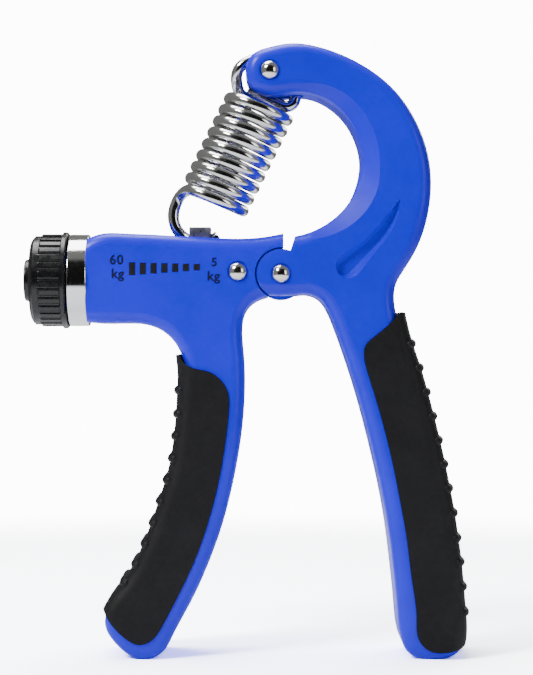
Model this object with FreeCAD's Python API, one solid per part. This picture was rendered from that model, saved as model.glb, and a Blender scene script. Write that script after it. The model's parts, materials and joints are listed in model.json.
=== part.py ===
"""Hand grip strengthener: two moulded handles on a rivet, a tension spring and a screw that sets its pull.

+Z is up, +X runs from the knob to the squeezing handle and +Y goes into the view of the scale side.
The part stands on its two feet. Outlines are given as (u, w): u along +X and w up, from the hinge axis.
"""

import FreeCAD
import Part
import math
import os

V = FreeCAD.Vector

# ---- driving dimensions, mm -------------------------------------------------------------------
PIVOT_X = 8.9               # hinge axis, from the middle of the part's length
PIVOT_Z = 96.0              # hinge axis above the feet
BODY_THICK = 22.0           # both mouldings across the hinge and the handles
TAPER_FROM = 17.0           # height over the hinge axis where the arm starts to get thinner
TAPER_BLEND = 5.0           # half the height of the soft start of the taper
TAPER_ANGLE = 3.5           # degrees, on each face of the arm
EDGE_ROUND = 3.0            # rounding of the mouldings' long edges
FOOT_DIP = 0.4              # how far the rounded feet are cut back to a flat

TONGUE_THICK = 10.8         # hinge tongue between the cheeks
TONGUE_R = 6.4
CHEEK_R = 6.1
CHEEK_GAP = 0.4             # round the cheeks and round the tongue
WASHER_THICK = 0.5
WASHER_R = 4.2
SLIDE_GAP = 0.05            # axial and radial clearance of running fits
STOP_FACE = 0.6             # end face of the barrel, right of the hinge axis

RIVET_R = 1.6
RIVET_HEAD_R = 2.3
RIVET_DOME = 1.3            # height of a rivet's dome
RIVET_SINK = 0.5            # depth of the recess that a head sits in
RIVET_RECESS_R = 2.6

SCREW_DROP = 1.4            # screw axis below the hinge axis
SCREW_R = 3.0
SCREW_PITCH = 1.5
THREAD_DEPTH = 0.8
JOURNAL_R = 2.2
BORE_R = 6.9                # bore of the barrel
BORE_END = -8.0
BARREL_END = -48.4          # open end of the barrel
END_BLOCK_LENGTH = 6.5
END_RIVET_U = -10.8
END_RIVET_W = 0.5
SLOT_LEFT = -46.0
SLOT_RIGHT = -9.4
SLOT_WIDTH = 9.2

COLLAR_R = 11.6
COLLAR_LENGTH = 5.05
COLLAR_WALL = 1.6
SPIGOT_LENGTH = 2.4
BUSH_R = 4.6

KNOB_GAP = 0.25
KNOB_LIP_R = 12.2
KNOB_LIP = 1.5
KNOB_R = 11.7
KNOB_BODY = 5.0             # length of the fluted stretch
KNOB_PLAIN = 2.3            # length of the plain stretch at its left
KNOB_PLAIN_R = 11.25
KNOB_DOME = 1.0             # how far the end face swells
FLUTES = 32
FLUTE_R = 0.62
FLUTE_RING = 11.85          # radius that the flutes' middles lie on
FLUTE_START = 1.0           # how far the flutes reach into the plain stretch
HUB_R = 5.4
KNOB_WALL = 2.0
CAP_R = 5.3
CAP_PROUD = 1.3
CAP_DEPTH = 1.4
FIXING_R = 1.2              # screw that holds the knob
FIXING_HEAD_R = 2.2
FIXING_HEAD = 1.1
FIXING_REACH = 8.0
HUB_END = 3.6               # from the knob's nose to the end of the adjusting screw
FLANGE = 0.8                # thickness of the bush's flange and of the thrust washer
BUSH_FLANGE_R = 6.0
THRUST_R = 5.4
CLIP_R = 4.8                # clip that holds the screw in the collar
CLIP_THICK = 0.4
CLIP_MOUTH = 3.2

CARRIAGE_U = -20.4          # middle of the carriage at the light end of its travel
NUT_R = 6.6
NUT_LENGTH = 8.0
STRAP_WIDTH = 5.4           # along the screw
STRAP_THICK = 1.3           # of its legs
STRAP_SPAN = 8.2            # across the legs
STRAP_TOP = 11.9            # above the hinge axis
STRAP_HANG = 2.22           # least thickness of its top, over the hook
STRAP_FOOT = 0.5            # lower end of its legs

WIRE_R = 1.48
COIL_R = 7.9                # mean radius
COIL_PITCH = 3.2
COIL_TURNS = 9
COIL_LEAN = 26.0            # degrees from upright
COIL_START = (-8.95, -3.25) # where the coil's first turn starts, from the spring's rivet
HOOK_R = 6.9                # mean radius of the lower hook
HOOK_GAP = 0.15             # between the strap and the hook
PIN_U = -2.8                # rivet that carries the spring
PIN_W = 50.85
TIP_R = 6.1                 # rounded tip of the arm
TIP_SLOT = 4.4              # fork in the tip
TIP_SLOT_REACH = 5.6        # how far the fork reaches past the hinge axis
SLEEVE_R = 2.82
FORK_TOP = 9.0              # the fork is open at its top and at its bottom
FORK_DROP = 9.0

GRIP_PROUD = 0.3            # grips above the mouldings' faces
GRIP_SKIN = 1.6             # how deep the grips sit in the faces
GRIP_ROUND = 3.8
RIB_R = 1.2
RIB_PROUD = 0.75
RIB_WRAP = 36.0             # degrees that a rib turns round the grip's edges
RECESS_FLOOR = 0.5          # width of the hollow's floor, as a share of its mouth
RECESS_DEPTH = 1.7          # teardrop hollow in each face of the arm
BEVEL_DEPTH = 1.8           # slope along the inside of the arm

HALF = BODY_THICK / 2
SCREW_AXIS_W = -SCREW_DROP
FLOOR = -PIVOT_Z

# ---- helpers ----------------------------------------------------------------------------------


def at(u, w, y=0.0):
    """A point given from the hinge axis, in the part's own frame."""
    return V(PIVOT_X + u, y, PIVOT_Z + w)


def line(a, b):
    return Part.LineSegment(at(*a), at(*b)).toShape()


def arc(a, middle, b):
    return Part.Arc(at(*a), at(*middle), at(*b)).toShape()


def curve(points):
    """A smooth curve through points."""
    spline = Part.BSplineCurve()
    spline.interpolate([at(*p) for p in points])
    return spline.toShape()


def prism(edges, half_low, half_high):
    """The closed outline's area between two depths along Y."""
    face = Part.Face(Part.Wire(edges))
    face.translate(V(0, half_low, 0))
    return face.extrude(V(0, half_high - half_low, 0))


def polygon(points, low, high):
    pairs = zip(points, points[1:] + points[:1])
    return prism([line(a, b) for a, b in pairs], low, high)


def rounded(points, half, radius, within=None):
    """A plate between -half and half with a smooth closed outline and rounded long edges."""
    spline = Part.BSplineCurve()
    spline.interpolate([at(*p) for p in points], True)
    solid = prism([spline.toShape()], -half, half)
    if within:
        solid = solid.common(within)
    rims = [e for e in solid.Edges if e.BoundBox.ZLength > 1 and e.BoundBox.YLength < half]
    return solid.makeFillet(radius, rims)


def disc(u, w, radius, low, high):
    """A round bar along Y."""
    return Part.makeCylinder(radius, high - low, at(u, w, low), V(0, 1, 0))


def bar(radius, left, right, inner=0.0):
    """A round bar or tube along the screw axis, between two u values."""
    solid = Part.makeCylinder(radius, right - left, at(left, SCREW_AXIS_W), V(1, 0, 0))
    if inner:
        solid = solid.cut(Part.makeCylinder(inner, right - left, at(left, SCREW_AXIS_W), V(1, 0, 0)))
    return solid


def block(u0, u1, w0, w1, y0, y1):
    return Part.makeBox(u1 - u0, y1 - y0, w1 - w0, at(u0, w0, y0))


def mirrored(shape):
    """The shape's mirror image in the part's middle plane."""
    return shape.mirror(V(0, 0, 0), V(0, 1, 0))


def both_faces(tool):
    """The tool and its mirror image."""
    return tool.fuse(mirrored(tool))


def rivet(u, w, half, shaft_r):
    """A rivet along Y with a domed head sunk in each face."""
    seat = half - RIVET_SINK + SLIDE_GAP
    dome_r = (RIVET_HEAD_R ** 2 + RIVET_DOME ** 2) / (2 * RIVET_DOME)
    neck = disc(u, w, RIVET_HEAD_R, seat, half)
    ball = Part.makeSphere(dome_r, at(u, w, half + RIVET_DOME - dome_r))
    dome = ball.common(disc(u, w, RIVET_HEAD_R, half, half + RIVET_DOME))
    shaft = disc(u, w, shaft_r, -seat, seat)
    return shaft.fuse(both_faces(neck.fuse(dome))).removeSplitter()


def rivet_recesses(u, w, half, shaft_r):
    """What a rivet takes out of a moulding: its hole and the recess of each head."""
    hole = disc(u, w, shaft_r + SLIDE_GAP, -half - 1, half + 1)
    recess = disc(u, w, RIVET_RECESS_R, half - RIVET_SINK, half + 1)
    return hole.fuse(both_faces(recess))


def save(name, shape):
    shape.exportStep("parts/" + name + ".step")
    box = shape.optimalBoundingBox()
    print("%-18s solids %d valid %s vol %9.1f  x %7.2f %7.2f  y %7.2f %7.2f  z %7.2f %7.2f" % (
        name, len(shape.Solids), shape.isValid(), shape.Volume,
        box.XMin, box.XMax, box.YMin, box.YMax, box.ZMin, box.ZMax))


# ---- left handle, with the barrel ----------------------------------------------------------------

LEFT_INNER = [(3.5, -5.3), (-1.5, -5.5), (-4.75, -6.2), (-7.3, -7.6), (-9.0, -9.8), (-9.75, -13.0),
              (-9.4, -20.0), (-9.15, -30.0), (-9.9, -40.0), (-11.5, -50.0), (-14.1, -61.0), (-17.75, -71.5),
              (-22.25, -81.5), (-27.0, -90.4)]
LEFT_FOOT = [(-29.3, -94.2), (-34.5, FLOOR - FOOT_DIP), (-40.0, -93.6), (-44.0, -86.5)]


def left_moulding():
    """The left moulding's rounded form, its finger side drawn in under the grip."""
    low = SCREW_AXIS_W - HALF
    barrel_top = [(BARREL_END - 4.6, -1.0), (BARREL_END - 3.6, 4.4), (BARREL_END - 0.6, 8.2),
                  (BARREL_END + 4.2, 10.1), (-39.0, 10.1), (-33.0, 9.85), (-26.0, 9.45), (-20.0, 9.1),
                  (-10.0, 8.8), (-3.0, 9.4), (3.5, 10.4), (9.0, 9.0), (11.0, 2.5), (8.6, -4.0)]
    finger_side = [(-42.0, -82.0), (-38.2, -77.0), (-33.6, -70.0), (-29.4, -60.0), (-26.3, -50.0),
                   (-24.4, -40.0), (-23.6, -30.0), (-23.9, -23.5), (-25.6, -18.6), (-28.6, -15.0),
                   (-32.6, -13.0), (-37.0, low), (-41.0, low), (BARREL_END + 3.0, low),
                   (BARREL_END - 1.8, low + 1.2), (BARREL_END - 4.2, low + 5.2)]
    solid = rounded(barrel_top + LEFT_INNER + LEFT_FOOT + finger_side, HALF, EDGE_ROUND)
    return solid.cut(block(BARREL_END - 8, BARREL_END, -15.0, 15.0, -HALF, HALF))


def left_grip_region(low, high):
    """The area that the left grip covers, open past the finger side."""
    edges = [
        curve([(-25.2, -20.2), (-24.0, -22.3), (-21.5, -23.6), (-18.0, -24.4), (-15.0, -26.4), (-13.2, -29.4),
               (-12.9, -33.5), (-13.75, -41.5), (-15.2, -50.5), (-17.25, -59.0), (-20.5, -69.0),
               (-25.0, -79.0), (-29.5, -87.6), (-32.0, -91.0), (-35.2, -92.2), (-39.0, -90.4),
               (-42.3, -87.0), (-44.6, -83.2)]),
        line((-44.6, -83.2), (-52.0, -80.0)),
        line((-52.0, -80.0), (-52.0, -21.4)),
        line((-52.0, -21.4), (-26.9, -21.3)),
        arc((-26.9, -21.3), (-26.25, -20.3), (-25.2, -20.2)),
    ]
    return prism(edges, low, high)


LEFT_FINGER_SIDE = [(-45.0, -85.0), (-42.1, -79.8), (-39.5, -76.6), (-36.7, -72.2), (-34.4, -67.2),
                    (-32.4, -62.0), (-30.6, -56.6), (-28.9, -51.3), (-27.6, -45.9), (-26.8, -40.4),
                    (-26.3, -34.9), (-26.0, -29.0), (-25.9, -24.5), (-26.3, -17.0)]
LEFT_FAR_SIDE = [(-23.5, -11.5), (-17.0, -11.0), (-11.5, -16.5), (-9.6, -26.0), (-10.2, -40.0), (-14.1, -59.0),
                 (-21.5, -79.0), (-27.0, -90.0), (-33.0, -96.5), (-40.8, -94.0)]
LEFT_RIBS = [2, 3, 4, 5, 6, 7, 8, 9, 10, 11]


def rib(finger_side, place, half):
    """A rounded rib across the finger side, bent round both edges of the grip."""
    before, point, after = (finger_side[place + step] for step in (-1, 0, 1))
    along = (after[0] - before[0], after[1] - before[1])
    size = math.hypot(*along)
    out = (-along[1] / size, along[0] / size)
    if out[0] * point[0] < 0:
        out = (-out[0], -out[1])
    rise = RIB_PROUD - RIB_R
    straight = half - GRIP_ROUND
    bend = GRIP_ROUND + rise

    def spot(turn):
        """A point of the rib's middle line, turned from the finger side towards a face."""
        inward = bend * (1 - math.cos(turn)) - rise
        return (point[0] - out[0] * inward, point[1] - out[1] * inward, straight + bend * math.sin(turn))

    wrap = math.radians(RIB_WRAP)
    start, middle, end = (V(*at(*spot(t))) for t in (0, wrap / 2, wrap))
    flip = [V(p.x, -p.y, p.z) for p in (end, middle, start)]
    path = Part.Wire([Part.Arc(*flip).toShape(), Part.LineSegment(flip[2], start).toShape(),
                      Part.Arc(start, middle, end).toShape()])
    first = path.Edges[0]
    section = Part.Wire(Part.makeCircle(RIB_R, flip[0], first.tangentAt(first.FirstParameter)))
    solid = path.makePipeShell([section], True, False)
    return solid.fuse(Part.makeSphere(RIB_R, flip[0])).fuse(Part.makeSphere(RIB_R, end))


def grip(finger_side, far_side, ribs, region):
    half = HALF + GRIP_PROUD
    solid = rounded(finger_side + far_side, half, GRIP_ROUND)
    solid = solid.fuse([rib(finger_side, place, half) for place in ribs])
    return solid.common(region(-HALF - 5, HALF + 5))


# ---- right handle, with the curved arm -----------------------------------------------------------

RIGHT_INNER = [(5.0, -5.2), (7.5, -5.4), (9.9, -6.7), (11.5, -8.9), (13.7, -14.0), (17.2, -24.0), (20.2, -34.0),
               (22.75, -44.0), (25.0, -54.0), (26.75, -64.0), (28.0, -74.0), (29.0, -84.0), (29.7, -90.0)]
RIGHT_FOOT = [(31.6, -94.4), (38.0, FLOOR - FOOT_DIP), (44.4, -94.2), (46.2, -89.0)]
ARM_OUTER = [(28.9, -10.6), (28.3, -7.0), (28.6, -3.0), (30.75, 1.0), (33.75, 6.0), (35.9, 11.5), (37.5, 21.0),
             (37.0, 29.0), (33.7, 38.5), (28.2, 46.4), (20.5, 52.4), (11.0, 56.6), (2.0, 57.9)]
ARM_INNER = [(-2.8, 44.75), (1.5, 45.1), (6.5, 45.2), (11.5, 43.3), (16.4, 38.9), (19.2, 33.6), (20.2, 28.5),
             (19.5, 23.5), (17.2, 18.2), (13.0, 13.6), (8.5, 10.9), (3.5, 9.4), (-3.0, 8.7)]


def right_moulding():
    """The right moulding's rounded form, its outer side drawn in under the grip."""
    outer_side = [(45.2, -85.0), (44.0, -78.0), (43.0, -72.0), (41.9, -62.0), (40.2, -52.0),
                  (38.0, -42.0), (35.5, -32.0), (32.7, -23.0), (30.2, -15.5)]
    tip = [(PIN_U + TIP_R * math.cos(math.radians(turn)), PIN_W + TIP_R * math.sin(math.radians(turn)))
           for turn in (92, 136, 180, 224)]
    hinge_end = [(-8.3, 5.8), (-9.6, 0.6), (-7.4, -4.0), (-3.0, -5.4)]
    points = RIGHT_INNER + RIGHT_FOOT + outer_side + ARM_OUTER + tip + ARM_INNER + hinge_end
    return rounded(points, HALF, EDGE_ROUND, arm_sides())


def right_grip_region(low, high):
    """The area that the right grip covers, open past its outer side."""
    edges = [
        curve([(29.6, -9.6), (28.4, -11.0), (25.5, -13.8), (22.6, -16.1), (20.9, -18.0), (20.6, -21.0),
               (22.0, -26.5), (25.0, -36.5), (27.5, -46.5), (29.5, -56.5), (31.25, -66.5), (32.5, -76.5),
               (33.6, -85.5), (34.2, -91.0), (36.6, -93.6), (41.0, -94.2), (45.0, -93.2), (47.6, -90.6)]),
        line((47.6, -90.6), (56.0, -89.0)),
        line((56.0, -89.0), (56.0, -12.0)),
        line((56.0, -12.0), (32.2, -11.6)),
        arc((32.2, -11.6), (31.1, -9.8), (29.6, -9.6)),
    ]
    return prism(edges, low, high)


RIGHT_OUTER_SIDE = [(29.3, -0.5), (30.5, -6.5), (31.6, -12.0), (33.0, -17.3), (35.0, -23.3), (36.75, -29.4),
                    (38.35, -35.4), (39.8, -41.4), (41.15, -47.4), (42.35, -53.4), (43.5, -59.6), (44.4, -65.8),
                    (45.2, -71.8), (45.8, -78.0), (46.3, -84.3), (46.5, -90.0)]
RIGHT_FAR_SIDE = [(44.0, -96.5), (38.0, -98.0), (31.0, -94.0), (28.2, -84.0), (25.5, -60.0), (20.5, -37.0),
                  (15.5, -19.5), (14.0, -8.0), (17.0, 1.0), (24.0, 4.0)]
RIGHT_RIBS = [3, 4, 5, 6, 7, 8, 9, 10, 11, 12, 13, 14]


def arm_half(w):
    """Half the right moulding's thickness at a height over the hinge axis."""
    return HALF - max(0.0, w - TAPER_FROM) * math.tan(math.radians(TAPER_ANGLE))


def arm_sides():
    """The right moulding's two faces: upright along the handle, leaning together along the arm."""
    slope = math.radians(TAPER_ANGLE)
    top = 80.0
    start = TAPER_FROM - TAPER_BLEND
    end = TAPER_FROM + TAPER_BLEND * math.cos(slope)
    end_y = arm_half(end)
    radius = TAPER_BLEND / math.tan(slope / 2)
    middle = (HALF - radius * (1 - math.cos(slope / 2)), start + radius * math.sin(slope / 2))
    low = -120.0

    def spot(y, w):
        return V(-100.0, y, PIVOT_Z + w)

    edges = [
        Part.LineSegment(spot(HALF, low), spot(HALF, start)).toShape(),
        Part.Arc(spot(HALF, start), spot(*middle), spot(end_y, end)).toShape(),
        Part.LineSegment(spot(end_y, end), spot(arm_half(top), top)).toShape(),
        Part.LineSegment(spot(arm_half(top), top), spot(-arm_half(top), top)).toShape(),
        Part.LineSegment(spot(-arm_half(top), top), spot(-end_y, end)).toShape(),
        Part.Arc(spot(-end_y, end), spot(-middle[0], middle[1]), spot(-HALF, start)).toShape(),
        Part.LineSegment(spot(-HALF, start), spot(-HALF, low)).toShape(),
        Part.LineSegment(spot(-HALF, low), spot(HALF, low)).toShape(),
    ]
    return Part.Face(Part.Wire(edges)).extrude(V(200.0, 0, 0))


def inner_bevel():
    """Slope along the inside of the arm, on one face: widest at its right."""
    crease = [(4.0, 47.4), (12.3, 46.8), (17.4, 43.9), (21.2, 39.4), (23.8, 33.5), (24.6, 27.5), (23.8, 20.5),
              (21.0, 14.8), (16.6, 10.4), (9.6, 7.6), (2.4, 7.0)]
    edge = ARM_INNER[1:-1]
    outer = Part.Wire([curve(crease), line(crease[-1], crease[0])])
    inner = Part.Wire([curve(edge), line(edge[-1], edge[0])])
    outer.translate(V(0, HALF, 0))
    inner.translate(V(0, HALF - BEVEL_DEPTH, 0))
    tool = Part.makeLoft([inner, outer], True, True)
    tool.rotate(at(0, TAPER_FROM, HALF), V(1, 0, 0), TAPER_ANGLE)
    return tool


TEARDROP_UPPER = [(27.2, 15.8), (24.2, 12.0), (20.2, 8.1), (16.3, 5.6), (14.2, 3.9)]
TEARDROP_LOWER = [(29.0, 14.6), (27.3, 10.6), (24.3, 6.4), (21.3, 2.6), (18.2, -0.7)]


def teardrop():
    """The hollow in one face of the arm, pointed at its upper end, with sloping sides."""
    wires = []
    for share, depth in ((1.0, 0.0), (RECESS_FLOOR, RECESS_DEPTH)):
        upper = [toward(b, a, share) for a, b in zip(TEARDROP_UPPER, TEARDROP_LOWER)]
        lower = [toward(a, b, share) for a, b in zip(TEARDROP_UPPER, TEARDROP_LOWER)]
        tip = toward((28.1, 15.2), (29.6, 18.4), share)
        round_end = [toward((16.2, 1.6), point, share) for point in ((13.6, 1.4), (15.2, -0.9))]
        wire = Part.Wire([curve([tip] + upper + round_end + lower[::-1] + [tip])])
        wire.translate(V(0, HALF - depth, 0))
        wires.append(wire)
    return Part.makeLoft(wires, True, True)


def toward(far, near, share):
    """The point that keeps a share of its distance from the middle between two points."""
    keep = (1 + share) / 2
    return (far[0] + (near[0] - far[0]) * keep, far[1] + (near[1] - far[1]) * keep)


def right_handle_solid():
    solid = right_moulding()
    left_of_arm = polygon([(4.62, 12.9), (2.3, 5.65), (0.0, 0.0), (-2.6, -5.5), (-2.6, -20.0), (-30.0, -20.0),
                           (-30.0, 12.9)], -HALF - 1, HALF + 1)
    solid = solid.cut(left_of_arm.cut(disc(0, 0, CHEEK_R, -HALF - 1, HALF + 1)))
    cheek_inside = TONGUE_THICK / 2 + WASHER_THICK + 2 * SLIDE_GAP
    slot_r = TONGUE_R + CHEEK_GAP + 0.1
    slot = disc(0, 0, slot_r, -cheek_inside, cheek_inside)
    slot = slot.fuse(block(-12.0, 0.0, -slot_r, slot_r, -cheek_inside, cheek_inside))
    solid = solid.cut(slot)
    solid = solid.cut(rivet_recesses(0, 0, HALF, RIVET_R))
    solid = solid.cut([teardrop(), mirrored(teardrop()), inner_bevel(), mirrored(inner_bevel())])
    solid = solid.cut(tip_fork())
    solid = solid.cut(rivet_recesses(PIN_U, PIN_W, arm_half(PIN_W), RIVET_R))
    solid = solid.cut(floor_block())
    return solid


def tip_fork():
    """The fork in the arm's tip that the spring's loop hangs in."""
    half = TIP_SLOT / 2
    return block(-12.0, TIP_SLOT_REACH, PIN_W - FORK_DROP, PIN_W + FORK_TOP, -half, half)


def floor_block():
    return block(-70.0, 70.0, FLOOR - 5.0, FLOOR, -HALF - 5, HALF + 5)


# ---- barrel -----------------------------------------------------------------------------------


def barrel_bore():
    return bar(BORE_R, BARREL_END - 1, BORE_END)


def left_handle_solid():
    solid = left_moulding()
    solid = solid.cut(block(STOP_FACE, 20.0, -12.0, 14.0, -HALF - 1, HALF + 1))
    recess = disc(0, 0, CHEEK_R + CHEEK_GAP, TONGUE_THICK / 2, HALF + 1)
    solid = solid.cut(both_faces(recess))
    solid = solid.cut(disc(0, 0, TONGUE_R + CHEEK_GAP, -TONGUE_THICK / 2, TONGUE_THICK / 2))
    tongue = disc(0, 0, TONGUE_R, -TONGUE_THICK / 2, TONGUE_THICK / 2)
    neck = block(-9.0, 0.0, -5.4, TONGUE_R - 0.4, -TONGUE_THICK / 2, TONGUE_THICK / 2)
    solid = solid.fuse(tongue).fuse(neck)
    solid = solid.cut(disc(0, 0, RIVET_R + SLIDE_GAP, -HALF, HALF))
    solid = solid.cut(barrel_bore())
    solid = solid.cut(block(SLOT_LEFT, SLOT_RIGHT, SCREW_AXIS_W, 14.0, -SLOT_WIDTH / 2, SLOT_WIDTH / 2))
    solid = solid.cut(rivet_recesses(END_RIVET_U, END_RIVET_W, HALF, RIVET_R))
    return solid.cut(floor_block())


def collar_ring():
    """Bright ring with a web that carries the bush, and a spigot in the bore."""
    left = BARREL_END - COLLAR_LENGTH
    ring = bar(COLLAR_R, left, BARREL_END, COLLAR_R - COLLAR_WALL)
    web = bar(COLLAR_R, BARREL_END - COLLAR_WALL, BARREL_END, BUSH_R)
    spigot = bar(BORE_R, BARREL_END, BARREL_END + SPIGOT_LENGTH, BUSH_R)
    solid = ring.fuse(web).fuse(spigot).removeSplitter()
    rims = [e for e in solid.Edges if abs(e.Length - 2 * math.pi * COLLAR_R) < 0.01]
    return solid.makeFillet(0.4, rims)


def front_bush():
    left = BARREL_END - COLLAR_WALL - FLANGE
    flange = bar(BUSH_FLANGE_R, left, left + FLANGE, SCREW_R + SLIDE_GAP)
    tube = bar(BUSH_R, left + FLANGE, BARREL_END + SPIGOT_LENGTH, SCREW_R + SLIDE_GAP)
    return flange.fuse(tube).removeSplitter()


def screw_end_block():
    right = BORE_END
    solid = bar(BORE_R, right - END_BLOCK_LENGTH, right)
    solid = solid.cut(bar(JOURNAL_R + SLIDE_GAP, right - END_BLOCK_LENGTH - 1, END_RIVET_U - RIVET_R - 0.6))
    return solid.cut(disc(END_RIVET_U, END_RIVET_W, RIVET_R + SLIDE_GAP, -HALF, HALF))


# ---- knob and screw ---------------------------------------------------------------------------

KNOB_RIGHT = BARREL_END - COLLAR_LENGTH - KNOB_GAP
KNOB_LEFT = KNOB_RIGHT - KNOB_LIP - KNOB_BODY - KNOB_PLAIN - KNOB_DOME


def adjusting_screw():
    """Spindle: journal in the knob, collar in the bush, thread, and journal in the end block."""
    thread_left = BARREL_END + SPIGOT_LENGTH + 0.5
    thread_right = BORE_END - END_BLOCK_LENGTH - 0.4
    root = SCREW_R - THREAD_DEPTH
    flank = SCREW_PITCH * 0.4
    left_end = KNOB_LEFT + HUB_END
    right_end = END_RIVET_U - RIVET_R - 0.8
    profile = [(left_end, 0.0), (left_end, SCREW_R), (thread_left, SCREW_R), (thread_left, root)]
    for turn in range(int((thread_right - thread_left) / SCREW_PITCH)):
        left = thread_left + turn * SCREW_PITCH
        profile += [(left + flank, SCREW_R), (left + SCREW_PITCH - flank, SCREW_R), (left + SCREW_PITCH, root)]
    profile += [(thread_right, root), (thread_right, JOURNAL_R), (right_end, JOURNAL_R), (right_end, 0.0)]
    return turned(profile).cut(bar(FIXING_R + SLIDE_GAP, left_end, KNOB_LEFT + FIXING_REACH + 0.6))


def turned(profile):
    """A solid turned about the screw axis from (u, radius) points."""
    points = [at(u, SCREW_AXIS_W + r) for u, r in profile]
    return Part.Face(Part.makePolygon(points + points[:1])).revolve(at(0, SCREW_AXIS_W), V(1, 0, 0), 360)


def knob():
    """Fluted cup with a lip at its right, a plain stretch and a swelling face at its left, and a hub inside."""
    lip_left = KNOB_RIGHT - KNOB_LIP
    plain_right = lip_left - KNOB_BODY
    shoulder = plain_right - KNOB_PLAIN
    profile = [(KNOB_LEFT, 0.0), (KNOB_LEFT, CAP_R + 0.8), (shoulder - 0.45, KNOB_PLAIN_R - 1.2),
               (shoulder, KNOB_PLAIN_R - 0.5), (shoulder + 0.5, KNOB_PLAIN_R),
               (plain_right - 0.4, KNOB_PLAIN_R), (plain_right, KNOB_R), (lip_left, KNOB_R),
               (lip_left + 0.3, KNOB_LIP_R),
               (KNOB_RIGHT - 0.3, KNOB_LIP_R), (KNOB_RIGHT, KNOB_LIP_R - 0.3), (KNOB_RIGHT, 0.0)]
    flutes = []
    for index in range(FLUTES):
        turn = 2 * math.pi * index / FLUTES
        centre = V(PIVOT_X + plain_right - FLUTE_START, FLUTE_RING * math.sin(turn),
                   PIVOT_Z + SCREW_AXIS_W + FLUTE_RING * math.cos(turn))
        flutes.append(Part.makeCylinder(FLUTE_R, KNOB_BODY + FLUTE_START, centre, V(1, 0, 0)))
    solid = turned(profile).cut(flutes)
    solid = solid.cut(bar(KNOB_R - KNOB_WALL, shoulder + KNOB_WALL, KNOB_RIGHT, HUB_R))
    solid = solid.cut(bar(SCREW_R, KNOB_LEFT + HUB_END, KNOB_RIGHT))
    solid = solid.cut(bar(FIXING_R + 0.1, KNOB_LEFT, KNOB_LEFT + HUB_END + 0.4))
    return solid.cut(bar(CAP_R + 0.1, KNOB_LEFT - 1, KNOB_LEFT + CAP_DEPTH + FIXING_HEAD + 0.1))


def knob_cap():
    """Domed disc that covers the fixing screw."""
    left = KNOB_LEFT - CAP_PROUD
    solid = bar(CAP_R, left, KNOB_LEFT + CAP_DEPTH)
    rim = [e for e in solid.Edges if e.Closed and abs(e.BoundBox.XMax - (PIVOT_X + left)) < 0.01]
    return solid.makeFillet(0.5, rim)


def knob_screw():
    seat = KNOB_LEFT + CAP_DEPTH + 0.1
    head = bar(FIXING_HEAD_R, seat, seat + FIXING_HEAD)
    return head.fuse(bar(FIXING_R, seat + FIXING_HEAD, KNOB_LEFT + FIXING_REACH)).removeSplitter()


def thrust_washer():
    left = BARREL_END - COLLAR_WALL - 2 * FLANGE - SLIDE_GAP
    return bar(THRUST_R, left, left + FLANGE, SCREW_R)


def retaining_clip():
    """Clip on the screw behind the spigot that holds the screw in the collar."""
    left = BARREL_END + SPIGOT_LENGTH + SLIDE_GAP
    ring = bar(CLIP_R, left, left + CLIP_THICK, SCREW_R)
    mouth = block(left, left + CLIP_THICK, SCREW_AXIS_W - CLIP_R, SCREW_AXIS_W, -CLIP_MOUTH / 2, CLIP_MOUTH / 2)
    return ring.cut(mouth)


# ---- carriage ---------------------------------------------------------------------------------

COIL_LENGTH = COIL_PITCH * COIL_TURNS
COIL_TOP = (PIN_U + COIL_START[0], PIN_W + COIL_START[1])
LEAN = math.radians(COIL_LEAN)
AXIS = (math.sin(LEAN), math.cos(LEAN))         # up along the coil
SIDE = (math.cos(LEAN), -math.sin(LEAN))        # to the coil's right
HOOK_TOP = (COIL_TOP[0] - AXIS[0] * COIL_LENGTH, COIL_TOP[1] - AXIS[1] * COIL_LENGTH)
HOOK_CENTRE = (CARRIAGE_U, STRAP_TOP - STRAP_HANG + HOOK_R - WIRE_R - HOOK_GAP)


def hook_stirrup():
    """Strap over the hook: a bar with two legs that go down beside the hook into the nut."""
    half = STRAP_WIDTH / 2
    outer = STRAP_SPAN / 2
    leg = block(CARRIAGE_U - half, CARRIAGE_U + half, STRAP_FOOT, STRAP_TOP, outer - STRAP_THICK, outer)
    top = block(CARRIAGE_U - half, CARRIAGE_U + half, 0.0, STRAP_TOP, STRAP_THICK - outer, outer - STRAP_THICK)
    top = top.common(disc(*HOOK_CENTRE, HOOK_R - WIRE_R - HOOK_GAP, -outer, outer))
    return top.fuse(both_faces(leg)).cut(bar(SCREW_R + 1.0, CARRIAGE_U - half, CARRIAGE_U + half))


def carriage_nut(strap):
    half = NUT_LENGTH / 2
    solid = bar(NUT_R, CARRIAGE_U - half, CARRIAGE_U + half)
    solid = solid.cut(bar(SCREW_R + SLIDE_GAP, CARRIAGE_U - half, CARRIAGE_U + half))
    return solid.cut(strap)


# ---- spring -----------------------------------------------------------------------------------


def coil(turns, first):
    """Turns of the spring, counted down from the top, as a swept wire."""
    start_u = COIL_TOP[0] + SIDE[0] * COIL_R - AXIS[0] * COIL_PITCH * first
    start_w = COIL_TOP[1] + SIDE[1] * COIL_R - AXIS[1] * COIL_PITCH * first
    path = Part.makeHelix(COIL_PITCH, COIL_PITCH * turns, COIL_R)
    section = Part.Wire(Part.makeCircle(WIRE_R, V(COIL_R, 0, 0), V(0, 1, COIL_PITCH / (2 * math.pi * COIL_R))))
    wire = Part.Wire(path).makePipeShell([section], True, True)
    wire.rotate(V(0, 0, 0), V(0, 0, 1), 180 - 360 * (first + turns))
    wire.translate(V(0, 0, -COIL_PITCH * turns))
    wire.rotate(V(0, 0, 0), V(0, 1, 0), COIL_LEAN)
    wire.translate(at(start_u, start_w))
    return wire


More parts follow.
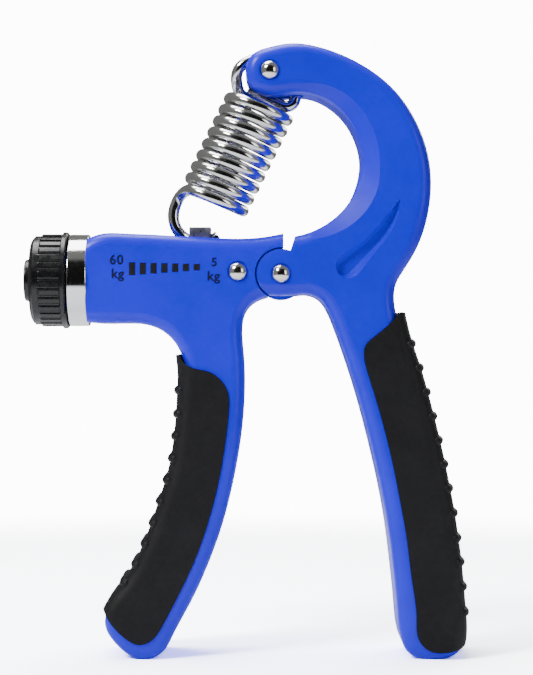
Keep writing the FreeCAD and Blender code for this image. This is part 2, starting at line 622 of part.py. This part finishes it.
def bent_wire(points, straight_to=None):
    """Round wire along three-point arcs that follow one another in the middle plane, with a straight end."""
    edges = [arc(*points[i:i + 3]) for i in range(0, len(points) - 2, 2)]
    if straight_to:
        edges.append(line(points[-1], straight_to))
    path = Part.Wire(edges)
    first = edges[0]
    section = Part.Wire(Part.makeCircle(WIRE_R, at(*points[0]), first.tangentAt(first.FirstParameter)))
    return path.makePipeShell([section], True, False)


def ball(point):
    return Part.makeSphere(WIRE_R, at(*point))


def spring_upper():
    """Upper loop, round the rivet, the straight end across the coil, and the upper turns."""
    from_pin = [COIL_START, (-8.84, 0.45), (-6.2, 3.05), (-3.01, 4.02), (0.3, 4.35), (4.9, 2.4), (6.7, -2.25),
                (6.67, -4.05), (6.6, -5.85), (5.42, -7.92), (3.04, -7.95), (-5.2, -3.4)]
    *loop, cut_end = [(PIN_U + u, PIN_W + w) for u, w in from_pin]
    shape = bent_wire(loop, cut_end).fuse(ball(COIL_TOP))
    return shape.fuse(coil(COIL_TURNS / 2, 0))


def spring_lower():
    """Lower turns and the hook under the carriage's strap."""
    u, w = HOOK_CENTRE
    low = [HOOK_TOP, (u - 6.14, w + 3.68)]
    for turn in (180, 215, 255, 295, 312):
        angle = math.radians(turn)
        low.append((u + HOOK_R * math.cos(angle), w + HOOK_R * math.sin(angle)))
    shape = bent_wire(low).fuse(ball(HOOK_TOP))
    return shape.fuse(coil(COIL_TURNS / 2, COIL_TURNS / 2))


def main():
    os.makedirs("parts", exist_ok=True)
    left = left_handle_solid()
    left_skin = left_grip_region(HALF - GRIP_SKIN, HALF + 1)
    left = left.cut(both_faces(left_skin))
    save("left_handle", left)
    left_form = grip(LEFT_FINGER_SIDE, LEFT_FAR_SIDE, LEFT_RIBS, left_grip_region)
    save("left_grip", left_form.cut(left))
    save("collar_ring", collar_ring())
    save("front_bush", front_bush())
    save("screw_end_block", screw_end_block())
    save("screw_end_rivet", rivet(END_RIVET_U, END_RIVET_W, HALF, RIVET_R))
    save("knob", knob())
    save("knob_cap", knob_cap())
    save("knob_screw", knob_screw())
    save("adjusting_screw", adjusting_screw())
    save("thrust_washer", thrust_washer())
    save("retaining_clip", retaining_clip())
    strap = hook_stirrup()
    save("hook_stirrup", strap)
    save("carriage_nut", carriage_nut(strap))
    save("pivot_rivet", rivet(0, 0, HALF, RIVET_R))
    inside = TONGUE_THICK / 2 + SLIDE_GAP
    washer = disc(0, 0, WASHER_R, inside, inside + WASHER_THICK).cut(disc(0, 0, RIVET_R, -HALF, HALF))
    save("pivot_washers", Part.makeCompound([washer, mirrored(washer)]))
    right = right_handle_solid()
    right_skin = right_grip_region(HALF - GRIP_SKIN, HALF + 1)
    right = right.cut(both_faces(right_skin))
    save("right_handle", right)
    right_form = grip(RIGHT_OUTER_SIDE, RIGHT_FAR_SIDE, RIGHT_RIBS, right_grip_region)
    save("right_grip", right_form.cut(right))
    save("spring_rivet", rivet(PIN_U, PIN_W, arm_half(PIN_W), RIVET_R))
    sleeve = disc(PIN_U, PIN_W, SLEEVE_R, -TIP_SLOT / 2 + SLIDE_GAP, TIP_SLOT / 2 - SLIDE_GAP)
    save("spring_sleeve", sleeve.cut(disc(PIN_U, PIN_W, RIVET_R, -HALF, HALF)))
    save("spring_upper", spring_upper())
    save("spring_lower", spring_lower())


main()
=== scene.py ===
"""Hand grip strengthener: finish, spring wire, printed scale and studio, laid out as an add-on."""

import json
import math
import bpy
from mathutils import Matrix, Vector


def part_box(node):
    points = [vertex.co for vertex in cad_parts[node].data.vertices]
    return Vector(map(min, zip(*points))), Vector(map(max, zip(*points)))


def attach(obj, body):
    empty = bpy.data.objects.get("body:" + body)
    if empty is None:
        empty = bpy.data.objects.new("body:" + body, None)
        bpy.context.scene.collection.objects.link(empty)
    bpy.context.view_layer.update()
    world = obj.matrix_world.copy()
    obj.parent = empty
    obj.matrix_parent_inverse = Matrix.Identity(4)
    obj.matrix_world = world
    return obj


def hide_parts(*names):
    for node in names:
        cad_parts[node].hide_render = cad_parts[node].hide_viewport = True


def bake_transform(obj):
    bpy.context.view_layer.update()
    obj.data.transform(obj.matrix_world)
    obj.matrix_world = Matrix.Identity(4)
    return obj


bl_info = {
    "name": "Hand Grip Strengthener",
    "version": (1, 0, 0),
    "blender": (4, 5, 0),
    "location": "3D View > Sidebar > Gripper",
    "description": "Dresses the two handles, the spring and the knob, and sets the studio",
    "category": "Add Mesh",
}

import bpy
from bpy.props import FloatProperty, FloatVectorProperty, IntProperty, PointerProperty
from bpy.types import Operator, Panel, PropertyGroup
from mathutils import Vector

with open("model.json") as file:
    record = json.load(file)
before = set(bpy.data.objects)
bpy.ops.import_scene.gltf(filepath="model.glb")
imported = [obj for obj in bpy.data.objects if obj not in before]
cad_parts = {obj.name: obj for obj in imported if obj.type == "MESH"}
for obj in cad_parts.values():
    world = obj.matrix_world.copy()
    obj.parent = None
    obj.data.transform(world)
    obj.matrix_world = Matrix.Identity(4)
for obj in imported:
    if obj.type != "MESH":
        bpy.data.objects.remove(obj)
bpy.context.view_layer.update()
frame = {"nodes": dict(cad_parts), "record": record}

MM = 0.001
FONT_SIZE = 1.38            # font size for a figure one unit tall
FONT_SPACING = 1.12         # wider gaps between the letters
FONT_WEIGHT = 0.034         # how much bolder the strokes are, as a share of the height
TURN_STEPS = 24             # points on one turn of the spring


def middle(node):
    """The centre of a CAD node's box."""
    low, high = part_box(node)
    return (Vector(low) + Vector(high)) / 2


HINGE = middle("pivot_rivet")
FRONT = Vector(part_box("left_handle")[0]).y


# ---- settings ---------------------------------------------------------------------------------


class GripperWire(PropertyGroup):
    """Sizes of the spring's wire, from the hinge axis."""

    radius: FloatProperty(name="Wire radius", description="Half the wire's thickness",
                          default=1.48 * MM, unit="LENGTH")
    coil_radius: FloatProperty(name="Coil radius", description="Mean radius of the coils",
                               default=7.9 * MM, unit="LENGTH")
    pitch: FloatProperty(name="Pitch", description="Rise of one turn", default=3.2 * MM, unit="LENGTH")
    turns: IntProperty(name="Turns", description="Full turns of the coil", default=9)
    lean: FloatProperty(name="Lean", description="Lean of the coil to the right",
                        default=math.radians(26), subtype="ANGLE")
    top: FloatVectorProperty(name="Top", description="Where the first turn starts, left of the coil", size=2,
                             default=(-11.75 * MM, 47.6 * MM), unit="LENGTH")
    hook: FloatVectorProperty(name="Hook", description="Centre of the lower hook", size=2,
                              default=(-20.4 * MM, 14.95 * MM), unit="LENGTH")
    hook_radius: FloatProperty(name="Hook radius", description="Mean radius of the hook",
                               default=6.9 * MM, unit="LENGTH")


class GripperPrint(PropertyGroup):
    """Sizes of the scale printed on the barrel."""

    letter: FloatProperty(name="Letter height", description="Height of the figures",
                          default=2.35 * MM, unit="LENGTH")
    bars: IntProperty(name="Bars", description="Bars of the scale", default=7)
    bar_width: FloatProperty(name="Bar width", description="Width of one bar",
                             default=1.55 * MM, unit="LENGTH")
    bar_pitch: FloatProperty(name="Bar pitch", description="From bar to bar",
                             default=2.68 * MM, unit="LENGTH")
    tallest: FloatProperty(name="Tallest bar", description="Height of the bar at the heavy end",
                           default=3.2 * MM, unit="LENGTH")
    lowest: FloatProperty(name="Lowest bar", description="Height of the bar at the light end",
                          default=1.6 * MM, unit="LENGTH")
    thickness: FloatProperty(name="Ink thickness", description="How far the ink stands proud",
                             default=0.03 * MM, unit="LENGTH")


class GripperColours(PropertyGroup):
    """Colours of the finishes."""

    blue: FloatVectorProperty(name="Blue", description="Moulded handles", size=3,
                              default=(0.010, 0.001, 0.88), subtype="COLOR")
    deep_blue: FloatVectorProperty(name="Deep blue", description="Darker tone of the handles", size=3,
                                   default=(0.008, 0.001, 0.77), subtype="COLOR")
    grip: FloatVectorProperty(name="Grip", description="Soft grips", size=3,
                              default=(0.0035, 0.0033, 0.0042), subtype="COLOR")
    knob: FloatVectorProperty(name="Knob", description="Knob", size=3,
                              default=(0.003, 0.003, 0.0036), subtype="COLOR")
    steel: FloatVectorProperty(name="Steel", description="Plated steel", size=3,
                               default=(0.82, 0.82, 0.8), subtype="COLOR")
    ink: FloatVectorProperty(name="Ink", description="Printed scale", size=3,
                             default=(0.0015, 0.0015, 0.003), subtype="COLOR")


class GripperStudio(PropertyGroup):
    """Camera and light."""

    distance: FloatProperty(name="Distance", description="From the camera to the front face",
                            default=0.478, unit="LENGTH")
    lens: FloatProperty(name="Lens", description="Focal length in millimetres", default=130.1)
    aim: FloatVectorProperty(name="Aim", description="Where the camera looks, from the hinge axis", size=2,
                             default=(-3.62 * MM, -15.9 * MM), unit="LENGTH")
    floor: FloatVectorProperty(name="Floor", description="Colour of the floor", size=3,
                               default=(0.88, 0.9, 0.95), subtype="COLOR")
    lift: FloatProperty(name="Lift", description="How much paler the camera sees the floor", default=5.0)
    backdrop: FloatProperty(name="Backdrop", description="Brightness of the backdrop to the camera",
                            default=13.0)
    sky: FloatProperty(name="Sky", description="Light from all round", default=0.26)
    patch: FloatProperty(name="Patch", description="Half the dark patch behind the camera",
                         default=math.radians(48),
                         subtype="ANGLE")
    table: FloatProperty(name="Table", description="Radius of the lit part of the floor",
                         default=0.26, unit="LENGTH")


# ---- finishes ---------------------------------------------------------------------------------


def new_finish(name):
    """A node material with its shader and Object coordinates."""
    material = bpy.data.materials.new(name + "_finish")
    material.use_nodes = True
    nodes = material.node_tree.nodes
    shader = nodes["Principled BSDF"]
    coords = nodes.new("ShaderNodeTexCoord")
    return material, nodes, material.node_tree.links, shader, coords.outputs["Object"]


def noise(nodes, links, coords, scale, detail=2.0, rough=0.5):
    texture = nodes.new("ShaderNodeTexNoise")
    texture.inputs["Scale"].default_value = scale
    texture.inputs["Detail"].default_value = detail
    texture.inputs["Roughness"].default_value = rough
    links.new(coords, texture.inputs["Vector"])
    return texture.outputs["Fac"]


def spread(nodes, links, value, low, high):
    """Maps a 0 to 1 value to a range."""
    node = nodes.new("ShaderNodeMapRange")
    node.inputs["From Min"].default_value = 0.3
    node.inputs["From Max"].default_value = 0.7
    node.inputs["To Min"].default_value = low
    node.inputs["To Max"].default_value = high
    links.new(value, node.inputs["Value"])
    return node.outputs["Result"]


def two_tone(nodes, links, value, first, second):
    ramp = nodes.new("ShaderNodeValToRGB")
    ramp.color_ramp.elements[0].position = 0.35
    ramp.color_ramp.elements[1].position = 0.65
    ramp.color_ramp.elements[0].color = (*first, 1)
    ramp.color_ramp.elements[1].color = (*second, 1)
    links.new(value, ramp.inputs["Fac"])
    return ramp.outputs["Color"]


def bump(nodes, links, shader, height, strength, distance):
    node = nodes.new("ShaderNodeBump")
    node.inputs["Strength"].default_value = strength
    node.inputs["Distance"].default_value = distance
    links.new(height, node.inputs["Height"])
    links.new(node.outputs["Normal"], shader.inputs["Normal"])
    return node


def blue_finish():
    """Satin moulded plastic: slight tone changes, faint orange peel and fine scuffs in the gloss."""
    colours = bpy.context.scene.gripper_colours
    material, nodes, links, shader, coords = new_finish("blue_plastic")
    tone = two_tone(nodes, links, noise(nodes, links, coords, 45.0), colours.deep_blue, colours.blue)
    links.new(tone, shader.inputs["Base Color"])
    gloss = spread(nodes, links, noise(nodes, links, coords, 260.0, 4.0), 0.30, 0.38)
    links.new(gloss, shader.inputs["Roughness"])
    bump(nodes, links, shader, noise(nodes, links, coords, 1600.0, 2.0), 0.06, 0.0002)
    shader.inputs["Specular IOR Level"].default_value = 0.3
    return material


def grip_finish():
    """Soft matte rubber with a fine spark-eroded grain."""
    colours = bpy.context.scene.gripper_colours
    material, nodes, links, shader, coords = new_finish("black_grip")
    tone = two_tone(nodes, links, noise(nodes, links, coords, 120.0, 3.0), colours.grip,
                    [1.7 * channel for channel in colours.grip])
    links.new(tone, shader.inputs["Base Color"])
    gloss = spread(nodes, links, noise(nodes, links, coords, 500.0, 3.0), 0.50, 0.64)
    links.new(gloss, shader.inputs["Roughness"])
    bump(nodes, links, shader, noise(nodes, links, coords, 3200.0, 3.0), 0.25, 0.0002)
    shader.inputs["Specular IOR Level"].default_value = 0.28
    return material


def knob_finish():
    """Half-gloss black plastic."""
    colours = bpy.context.scene.gripper_colours
    material, nodes, links, shader, coords = new_finish("black_plastic")
    tone = two_tone(nodes, links, noise(nodes, links, coords, 150.0, 3.0), colours.knob,
                    [1.6 * channel for channel in colours.knob])
    links.new(tone, shader.inputs["Base Color"])
    gloss = spread(nodes, links, noise(nodes, links, coords, 700.0, 4.0), 0.22, 0.36)
    links.new(gloss, shader.inputs["Roughness"])
    bump(nodes, links, shader, noise(nodes, links, coords, 2500.0, 2.0), 0.08, 0.0002)
    return material


def metal_finish(name, tint, low, high, scratch):
    """Plated or polished steel: tone, gloss and hairline scratches."""
    material, nodes, links, shader, coords = new_finish(name)
    tone = two_tone(nodes, links, noise(nodes, links, coords, 90.0, 3.0), tint,
                    [0.9 * channel for channel in tint])
    links.new(tone, shader.inputs["Base Color"])
    gloss = spread(nodes, links, noise(nodes, links, coords, 900.0, 5.0), low, high)
    links.new(gloss, shader.inputs["Roughness"])
    bump(nodes, links, shader, noise(nodes, links, coords, 5000.0, 4.0), scratch, 0.0001)
    shader.inputs["Metallic"].default_value = 1.0
    return material


def nylon_finish():
    material, nodes, links, shader, coords = new_finish("white_nylon")
    tone = two_tone(nodes, links, noise(nodes, links, coords, 200.0), (0.74, 0.74, 0.70), (0.82, 0.82, 0.78))
    links.new(tone, shader.inputs["Base Color"])
    gloss = spread(nodes, links, noise(nodes, links, coords, 800.0), 0.4, 0.5)
    links.new(gloss, shader.inputs["Roughness"])
    return material


def ink_finish():
    """Pad-printed ink with slight unevenness."""
    colours = bpy.context.scene.gripper_colours
    material, nodes, links, shader, coords = new_finish("print_ink")
    tone = two_tone(nodes, links, noise(nodes, links, coords, 1800.0, 3.0), colours.ink,
                    [2.0 * channel for channel in colours.ink])
    links.new(tone, shader.inputs["Base Color"])
    gloss = spread(nodes, links, noise(nodes, links, coords, 2500.0), 0.4, 0.55)
    links.new(gloss, shader.inputs["Roughness"])
    return material


def make_finishes():
    """Every finish of the part, by its slot."""
    steel = bpy.context.scene.gripper_colours.steel
    satin = [0.92 * channel for channel in steel]
    return {
        "blue_plastic": blue_finish(),
        "black_grip": grip_finish(),
        "black_plastic": knob_finish(),
        "white_nylon": nylon_finish(),
        "print_ink": ink_finish(),
        "bright_chrome": metal_finish("bright_chrome", steel, 0.07, 0.13, 0.02),
        "spring_chrome": metal_finish("spring_chrome", satin, 0.10, 0.17, 0.03),
        "polished_steel": metal_finish("polished_steel", (0.86, 0.84, 0.78), 0.10, 0.18, 0.03),
        "zinc_steel": metal_finish("zinc_steel", (0.80, 0.81, 0.84), 0.27, 0.4, 0.06),
    }


FINISHES = {}


# ---- modelling helpers ------------------------------------------------------------------------


def start():
    """Nothing is selected and object mode is on."""
    if bpy.context.object and bpy.context.object.mode != "OBJECT":
        bpy.ops.object.mode_set(mode="OBJECT")
    bpy.ops.object.select_all(action="DESELECT")


def finish_piece(piece, name, material, body=None):
    """Settles a new piece: its name, its place in its mesh, its finish and what it rides on."""
    start()
    bpy.context.view_layer.objects.active = piece
    piece.select_set(True)
    bpy.ops.object.transform_apply(location=True, rotation=True, scale=True)
    piece.name = name
    piece.data.name = name
    piece.data.materials.clear()
    piece.data.materials.append(FINISHES[material])
    if body:
        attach(piece, body)
    return piece


def near_hinge(across, up, depth=0.0):
    """A point given from the hinge axis."""
    return Vector((HINGE.x + across, depth, HINGE.z + up))


# ---- spring -----------------------------------------------------------------------------------


def upper_loop():
    """The loop over the rivet, from the wire's free end to the coil."""
    bar = [(-8.0, 47.45), (-5.6, 46.1), (-2.4, 44.35), (0.0, 43.0)]
    bend = [(1.6, 42.45), (3.4, 43.3), (3.95, 45.6), (4.0, 48.4), (3.3, 51.6)]
    over = [(1.0, 54.3), (-2.5, 55.3), (-5.9, 54.95), (-9.4, 53.9), (-11.7, 51.3)]
    return [near_hinge(u * MM, w * MM) for u, w in bar + bend + over]


def coil_points(wire):
    """The turns, from the top left down, going behind the axis first."""
    up = Vector((math.sin(wire.lean), 0, math.cos(wire.lean)))
    side = Vector((math.cos(wire.lean), 0, -math.sin(wire.lean)))
    centre = near_hinge(*wire.top) + side * wire.coil_radius
    points = []
    for step in range(2, TURN_STEPS * wire.turns - 1):
        turn = 2 * math.pi * step / TURN_STEPS
        out = Vector((0, 1, 0)) * math.sin(turn) - side * math.cos(turn)
        points.append(centre + out * wire.coil_radius - up * wire.pitch * turn / (2 * math.pi))
    return points


def lower_hook(wire):
    """The hook under the carriage's strap, from the coil to the wire's cut end."""
    centre = near_hinge(*wire.hook)
    shoulder = [near_hinge(-25.7 * MM, 20.2 * MM)]
    bow = []
    for degrees in range(158, 316, 14):
        turn = math.radians(degrees)
        bow.append(centre + Vector((math.cos(turn), 0, math.sin(turn))) * wire.hook_radius)
    return shoulder + bow


class GRIPPER_OT_spring(Operator):
    """Winds the spring as one wire, with its loop and its hook"""

    bl_idname = "gripper.spring"
    bl_label = "Spring wire"

    def execute(self, context):
        wire = context.scene.gripper_wire
        points = upper_loop() + coil_points(wire) + lower_hook(wire)
        start()
        bpy.ops.curve.primitive_nurbs_path_add(location=(0, 0, 0))
        path = context.object
        curve = path.data
        curve.splines.clear()
        spline = curve.splines.new("NURBS")
        spline.points.add(len(points) - 1)
        for place, point in zip(spline.points, points):
            place.co = (*point, 1.0)
        spline.order_u = 4
        spline.use_endpoint_u = True
        spline.resolution_u = 4
        curve.bevel_depth = wire.radius
        curve.bevel_resolution = 6
        curve.use_fill_caps = True
        start()
        context.view_layer.objects.active = path
        path.select_set(True)
        bpy.ops.object.convert(target="MESH")
        spring = finish_piece(context.object, "spring_wire", "spring_chrome")
        bpy.ops.object.shade_smooth_by_angle(angle=math.radians(50))
        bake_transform(spring)
        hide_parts("spring_upper", "spring_lower")
        return {"FINISHED"}


# ---- printed scale ----------------------------------------------------------------------------


def printed_word(text, across, up, height):
    """Raised ink letters on the barrel's front face, centred on a point."""
    start()
    bpy.ops.object.text_add(location=(0, 0, 0))
    words = bpy.context.object
    words.data.body = text
    words.data.align_x = "CENTER"
    words.data.align_y = "CENTER"
    words.data.size = height * FONT_SIZE
    words.data.space_character = FONT_SPACING
    words.data.offset = height * FONT_WEIGHT
    words.data.extrude = bpy.context.scene.gripper_print.thickness
    words.data.resolution_u = 8
    bpy.ops.object.convert(target="MESH")
    words = bpy.context.object
    words.rotation_euler = (math.radians(90), 0, 0)
    words.location = (HINGE.x + across, FRONT, HINGE.z + up)
    return words


def printed_bar(across, up, width, height):
    """One bar of the scale with barely rounded corners."""
    start()
    ink = bpy.context.scene.gripper_print.thickness
    bpy.ops.mesh.primitive_cube_add(size=1, location=(HINGE.x + across, FRONT, HINGE.z + up),
                                    scale=(width, 2 * ink, height))
    bar = bpy.context.object
    bpy.ops.object.transform_apply(location=True, rotation=True, scale=True)
    bpy.ops.object.mode_set(mode="EDIT")
    bpy.ops.mesh.select_all(action="SELECT")
    bpy.ops.mesh.bevel(offset=ink * 0.8, segments=2)
    bpy.ops.object.mode_set(mode="OBJECT")
    return bar


class GRIPPER_OT_scale(Operator):
    """Prints the plain scale on the barrel: heavy end, bars and light end"""

    bl_idname = "gripper.scale"
    bl_label = "Printed scale"

    def execute(self, context):
        ink = context.scene.gripper_print
        pieces = [
            printed_word("60", -40.85 * MM, 3.3 * MM, ink.letter),
            printed_word("kg", -40.6 * MM, -0.15 * MM, ink.letter),
            printed_word("5", -16.6 * MM, 2.7 * MM, ink.letter * 0.9),
            printed_word("kg", -16.8 * MM, -0.75 * MM, ink.letter),
        ]
        for place in range(ink.bars):
            share = place / (ink.bars - 1)
            height = ink.tallest + (ink.lowest - ink.tallest) * share
            across = -37.0 * MM + ink.bar_pitch * place
            pieces.append(printed_bar(across, (1.15 + 0.4 * share) * MM, ink.bar_width, height))
        start()
        for piece in pieces:
            piece.select_set(True)
        context.view_layer.objects.active = pieces[0]
        bpy.ops.object.join()
        scale = finish_piece(context.object, "printed_scale", "print_ink", "left_side")
        return {"FINISHED"}


# ---- finishes on the CAD nodes ------------------------------------------------------------------


class GRIPPER_OT_finishes(Operator):
    """Gives every CAD node its finish"""

    bl_idname = "gripper.finishes"
    bl_label = "Finishes"

    def execute(self, context):
        FINISHES.update(make_finishes())
        slots = {row["node"]: row["material_slot"] for row in frame["record"]["subparts"]}
        for node, piece in frame["nodes"].items():
            for slot in piece.material_slots:
                slot.material = FINISHES[slots[node]]
        return {"FINISHED"}


# ---- studio -----------------------------------------------------------------------------------


LIT_POINT = (0, 0, 0.08)
SOFTBOXES = [               # name, place, size and watts
    ("key", (-0.45, -0.4, 0.6), (0.22, 0.22), 6.6),
    ("overhead", (-0.1, 0.1, 0.7), (0.5, 0.3), 5.0),
    ("fill", (0.6, -0.5, 0.25), (0.2, 0.5), 1.0),
    ("rim", (0.4, 0.6, 0.35), (0.5, 0.3), 2.0),
]


def softbox(name, place, aim, size, power):
    start()
    bpy.ops.object.light_add(type="AREA", location=place)
    lamp = bpy.context.object
    lamp.name = name
    lamp.data.shape = "RECTANGLE"
    lamp.data.size, lamp.data.size_y = size
    lamp.data.energy = power
    lamp.rotation_euler = (Vector(aim) - Vector(place)).to_track_quat("-Z", "Y").to_euler()
    return lamp


def floor_finish():
    """Pale paper: lit by the lamps near the part, shown white further out, dark there in reflections."""
    studio = bpy.context.scene.gripper_studio
    material, nodes, links, shader, coords = new_finish("floor_paper")
    nodes.remove(shader)
    path = nodes.new("ShaderNodeLightPath").outputs["Is Camera Ray"]
    shown = nodes.new("ShaderNodeBsdfDiffuse")
    shown.inputs["Color"].default_value = (*[studio.lift * channel for channel in studio.floor], 1)
    bounced = nodes.new("ShaderNodeBsdfDiffuse")
    bounced.inputs["Color"].default_value = (*studio.floor, 1)
    far_shown = nodes.new("ShaderNodeEmission")
    far_shown.inputs["Strength"].default_value = studio.backdrop
    far_bounced = nodes.new("ShaderNodeBsdfTransparent")
    length = nodes.new("ShaderNodeVectorMath")
    length.operation = "LENGTH"
    links.new(coords, length.inputs[0])
    share = nodes.new("ShaderNodeMapRange")
    share.interpolation_type = "SMOOTHSTEP"
    share.inputs["From Min"].default_value = studio.table
    share.inputs["From Max"].default_value = studio.table * 1.6
    links.new(length.outputs["Value"], share.inputs["Value"])

    def blend(share_socket, first, second):
        node = nodes.new("ShaderNodeMixShader")
        links.new(share_socket, node.inputs["Fac"])
        links.new(first, node.inputs[1])
        links.new(second, node.inputs[2])
        return node.outputs["Shader"]

    near = blend(path, bounced.outputs["BSDF"], shown.outputs["BSDF"])
    far = blend(path, far_bounced.outputs["BSDF"], far_shown.outputs["Emission"])
    surface = blend(share.outputs["Result"], near, far)
    links.new(surface, nodes["Material Output"].inputs["Surface"])
    return material


def surroundings():
    """White to the camera; to the part, pale all round but for a dark patch behind the camera."""
    studio = bpy.context.scene.gripper_studio
    world = bpy.data.worlds.new("studio")
    world.use_nodes = True
    nodes, links = world.node_tree.nodes, world.node_tree.links
    nodes.clear()
    output = nodes.new("ShaderNodeOutputWorld")
    mix = nodes.new("ShaderNodeMixShader")
    seen = nodes.new("ShaderNodeBackground")
    seen.inputs["Color"].default_value = (1, 1, 1, 1)
    seen.inputs["Strength"].default_value = studio.backdrop
    lit = nodes.new("ShaderNodeBackground")
    path = nodes.new("ShaderNodeLightPath")
    coords = nodes.new("ShaderNodeTexCoord")
    toward = nodes.new("ShaderNodeVectorMath")
    toward.operation = "DOT_PRODUCT"
    toward.inputs[1].default_value = (0.15, -0.985, 0.08)
    patch = nodes.new("ShaderNodeMapRange")
    patch.interpolation_type = "SMOOTHSTEP"
    patch.inputs["From Min"].default_value = math.cos(studio.patch * 1.15)
    patch.inputs["From Max"].default_value = math.cos(studio.patch * 0.85)
    patch.inputs["To Min"].default_value = studio.sky
    patch.inputs["To Max"].default_value = 0.01
    links.new(coords.outputs["Generated"], toward.inputs[0])
    links.new(toward.outputs["Value"], patch.inputs["Value"])
    links.new(patch.outputs["Result"], lit.inputs["Strength"])
    links.new(path.outputs["Is Camera Ray"], mix.inputs["Fac"])
    links.new(lit.outputs["Background"], mix.inputs[1])
    links.new(seen.outputs["Background"], mix.inputs[2])
    links.new(mix.outputs["Shader"], output.inputs["Surface"])
    return world


class GRIPPER_OT_stage(Operator):
    """Sets the floor, the softboxes, the surroundings and the camera"""

    bl_idname = "gripper.stage"
    bl_label = "Studio"

    def execute(self, context):
        studio = context.scene.gripper_studio
        start()
        bpy.ops.mesh.primitive_circle_add(vertices=64, radius=6.0, fill_type="NGON", location=(0, 0, 0))
        floor = context.object
        floor.name = "floor"
        floor.data.materials.append(floor_finish())
        for name, place, size, power in SOFTBOXES:
            softbox(name, place, LIT_POINT, size, power)
        context.scene.world = surroundings()
        bpy.ops.object.camera_add(location=near_hinge(*studio.aim, FRONT - studio.distance),
                                  rotation=(math.radians(90), 0, 0))
        camera = context.object
        camera.data.sensor_fit = "HORIZONTAL"
        camera.data.sensor_width = 36.0
        camera.data.lens = studio.lens
        camera.data.clip_start = 0.01
        context.scene.camera = camera
        return {"FINISHED"}


# ---- panel and registration -------------------------------------------------------------------

OPERATORS = (GRIPPER_OT_finishes, GRIPPER_OT_spring, GRIPPER_OT_scale, GRIPPER_OT_stage)
SETTINGS = {
    "gripper_wire": GripperWire,
    "gripper_print": GripperPrint,
    "gripper_colours": GripperColours,
    "gripper_studio": GripperStudio,
}


class GRIPPER_PT_panel(Panel):
    """Lists the steps that dress the part"""

    bl_idname = "GRIPPER_PT_panel"
    bl_label = "Hand grip strengthener"
    bl_space_type = "VIEW_3D"
    bl_region_type = "UI"
    bl_category = "Gripper"

    def draw(self, context):
        for operator in OPERATORS:
            self.layout.operator(operator.bl_idname)


def register():
    for group in SETTINGS.values():
        bpy.utils.register_class(group)
    for name, group in SETTINGS.items():
        setattr(bpy.types.Scene, name, PointerProperty(type=group))
    for operator in OPERATORS:
        bpy.utils.register_class(operator)
    bpy.utils.register_class(GRIPPER_PT_panel)


def unregister():
    bpy.utils.unregister_class(GRIPPER_PT_panel)
    for operator in reversed(OPERATORS):
        bpy.utils.unregister_class(operator)
    for name, group in SETTINGS.items():
        delattr(bpy.types.Scene, name)
        bpy.utils.unregister_class(group)


def main():
    register()
    bpy.ops.gripper.finishes()
    bpy.ops.gripper.spring()
    bpy.ops.gripper.scale()
    bpy.ops.gripper.stage()


if __name__ == "__main__":
    main()
